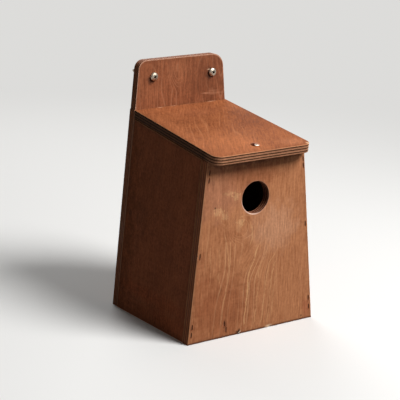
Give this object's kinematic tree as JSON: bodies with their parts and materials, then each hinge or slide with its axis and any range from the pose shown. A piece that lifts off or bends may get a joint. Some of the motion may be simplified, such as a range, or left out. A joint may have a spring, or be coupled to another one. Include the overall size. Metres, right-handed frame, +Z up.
{
  "type": "bird nest box",
  "caption": "Small plywood nest box with a round entrance, sides that lean in, a sloping roof that swings up and a tall back board for wall screws.",
  "frame": {"origin": "on the back board's rear face, in the box's mid-plane, at the height of the left wall screw", "axes": "+Z up, +Y out of the back face towards the wall, +X to the right as seen from the front"},
  "size_m": [0.153, 0.183, 0.2535],
  "materials": {
    "roof_wood": "satin stain",
    "front_wood": "satin stain",
    "side_wood": "satin stain",
    "back_wood": "satin stain",
    "floor_wood": "raw sawn",
    "screw_steel": "zinc plated",
    "staple_steel": "stained over",
    "nail_steel": "dull"
  },
  "bodies": {
    "nest_box": {"back_panel": "back_wood", "left_side_panel": "side_wood", "right_side_panel": "side_wood", "front_panel": "front_wood", "floor_panel": "floor_wood", "wall_screw_left": "screw_steel", "wall_screw_right": "screw_steel", "front_staple_left_1": "staple_steel", "front_staple_left_2": "staple_steel", "front_staple_left_3": "staple_steel", "front_staple_left_4": "staple_steel", "front_staple_left_5": "staple_steel", "front_staple_right_1": "staple_steel", "front_staple_right_2": "staple_steel", "front_staple_right_3": "staple_steel", "front_staple_right_4": "staple_steel", "front_staple_right_5": "staple_steel", "front_staple_floor_1": "staple_steel", "front_staple_floor_2": "staple_steel", "back_staple_left_1": "staple_steel", "back_staple_left_2": "staple_steel", "back_staple_left_3": "staple_steel", "back_staple_right_1": "staple_steel", "back_staple_right_2": "staple_steel", "back_staple_right_3": "staple_steel", "back_staple_floor_left": "staple_steel", "back_staple_floor_right": "staple_steel", "floor_nail": "nail_steel"},
    "roof": {"roof_panel": "roof_wood"},
    "roof_screw": {"roof_screw": "screw_steel"}
  },
  "joints": [
    {"name": "roof_hinge", "type": "hinge", "parent": "nest_box", "child": "roof", "pos_m": [0, -0.0093, -0.032], "axis": [-1, 0, 0], "range_deg": [0, 90]},
    {"name": "roof_screw_slide", "type": "slide", "parent": "roof", "child": "roof_screw", "axis": [0, -0.1253, 0.9921], "range_m": [0, 0.014]}
  ]
}
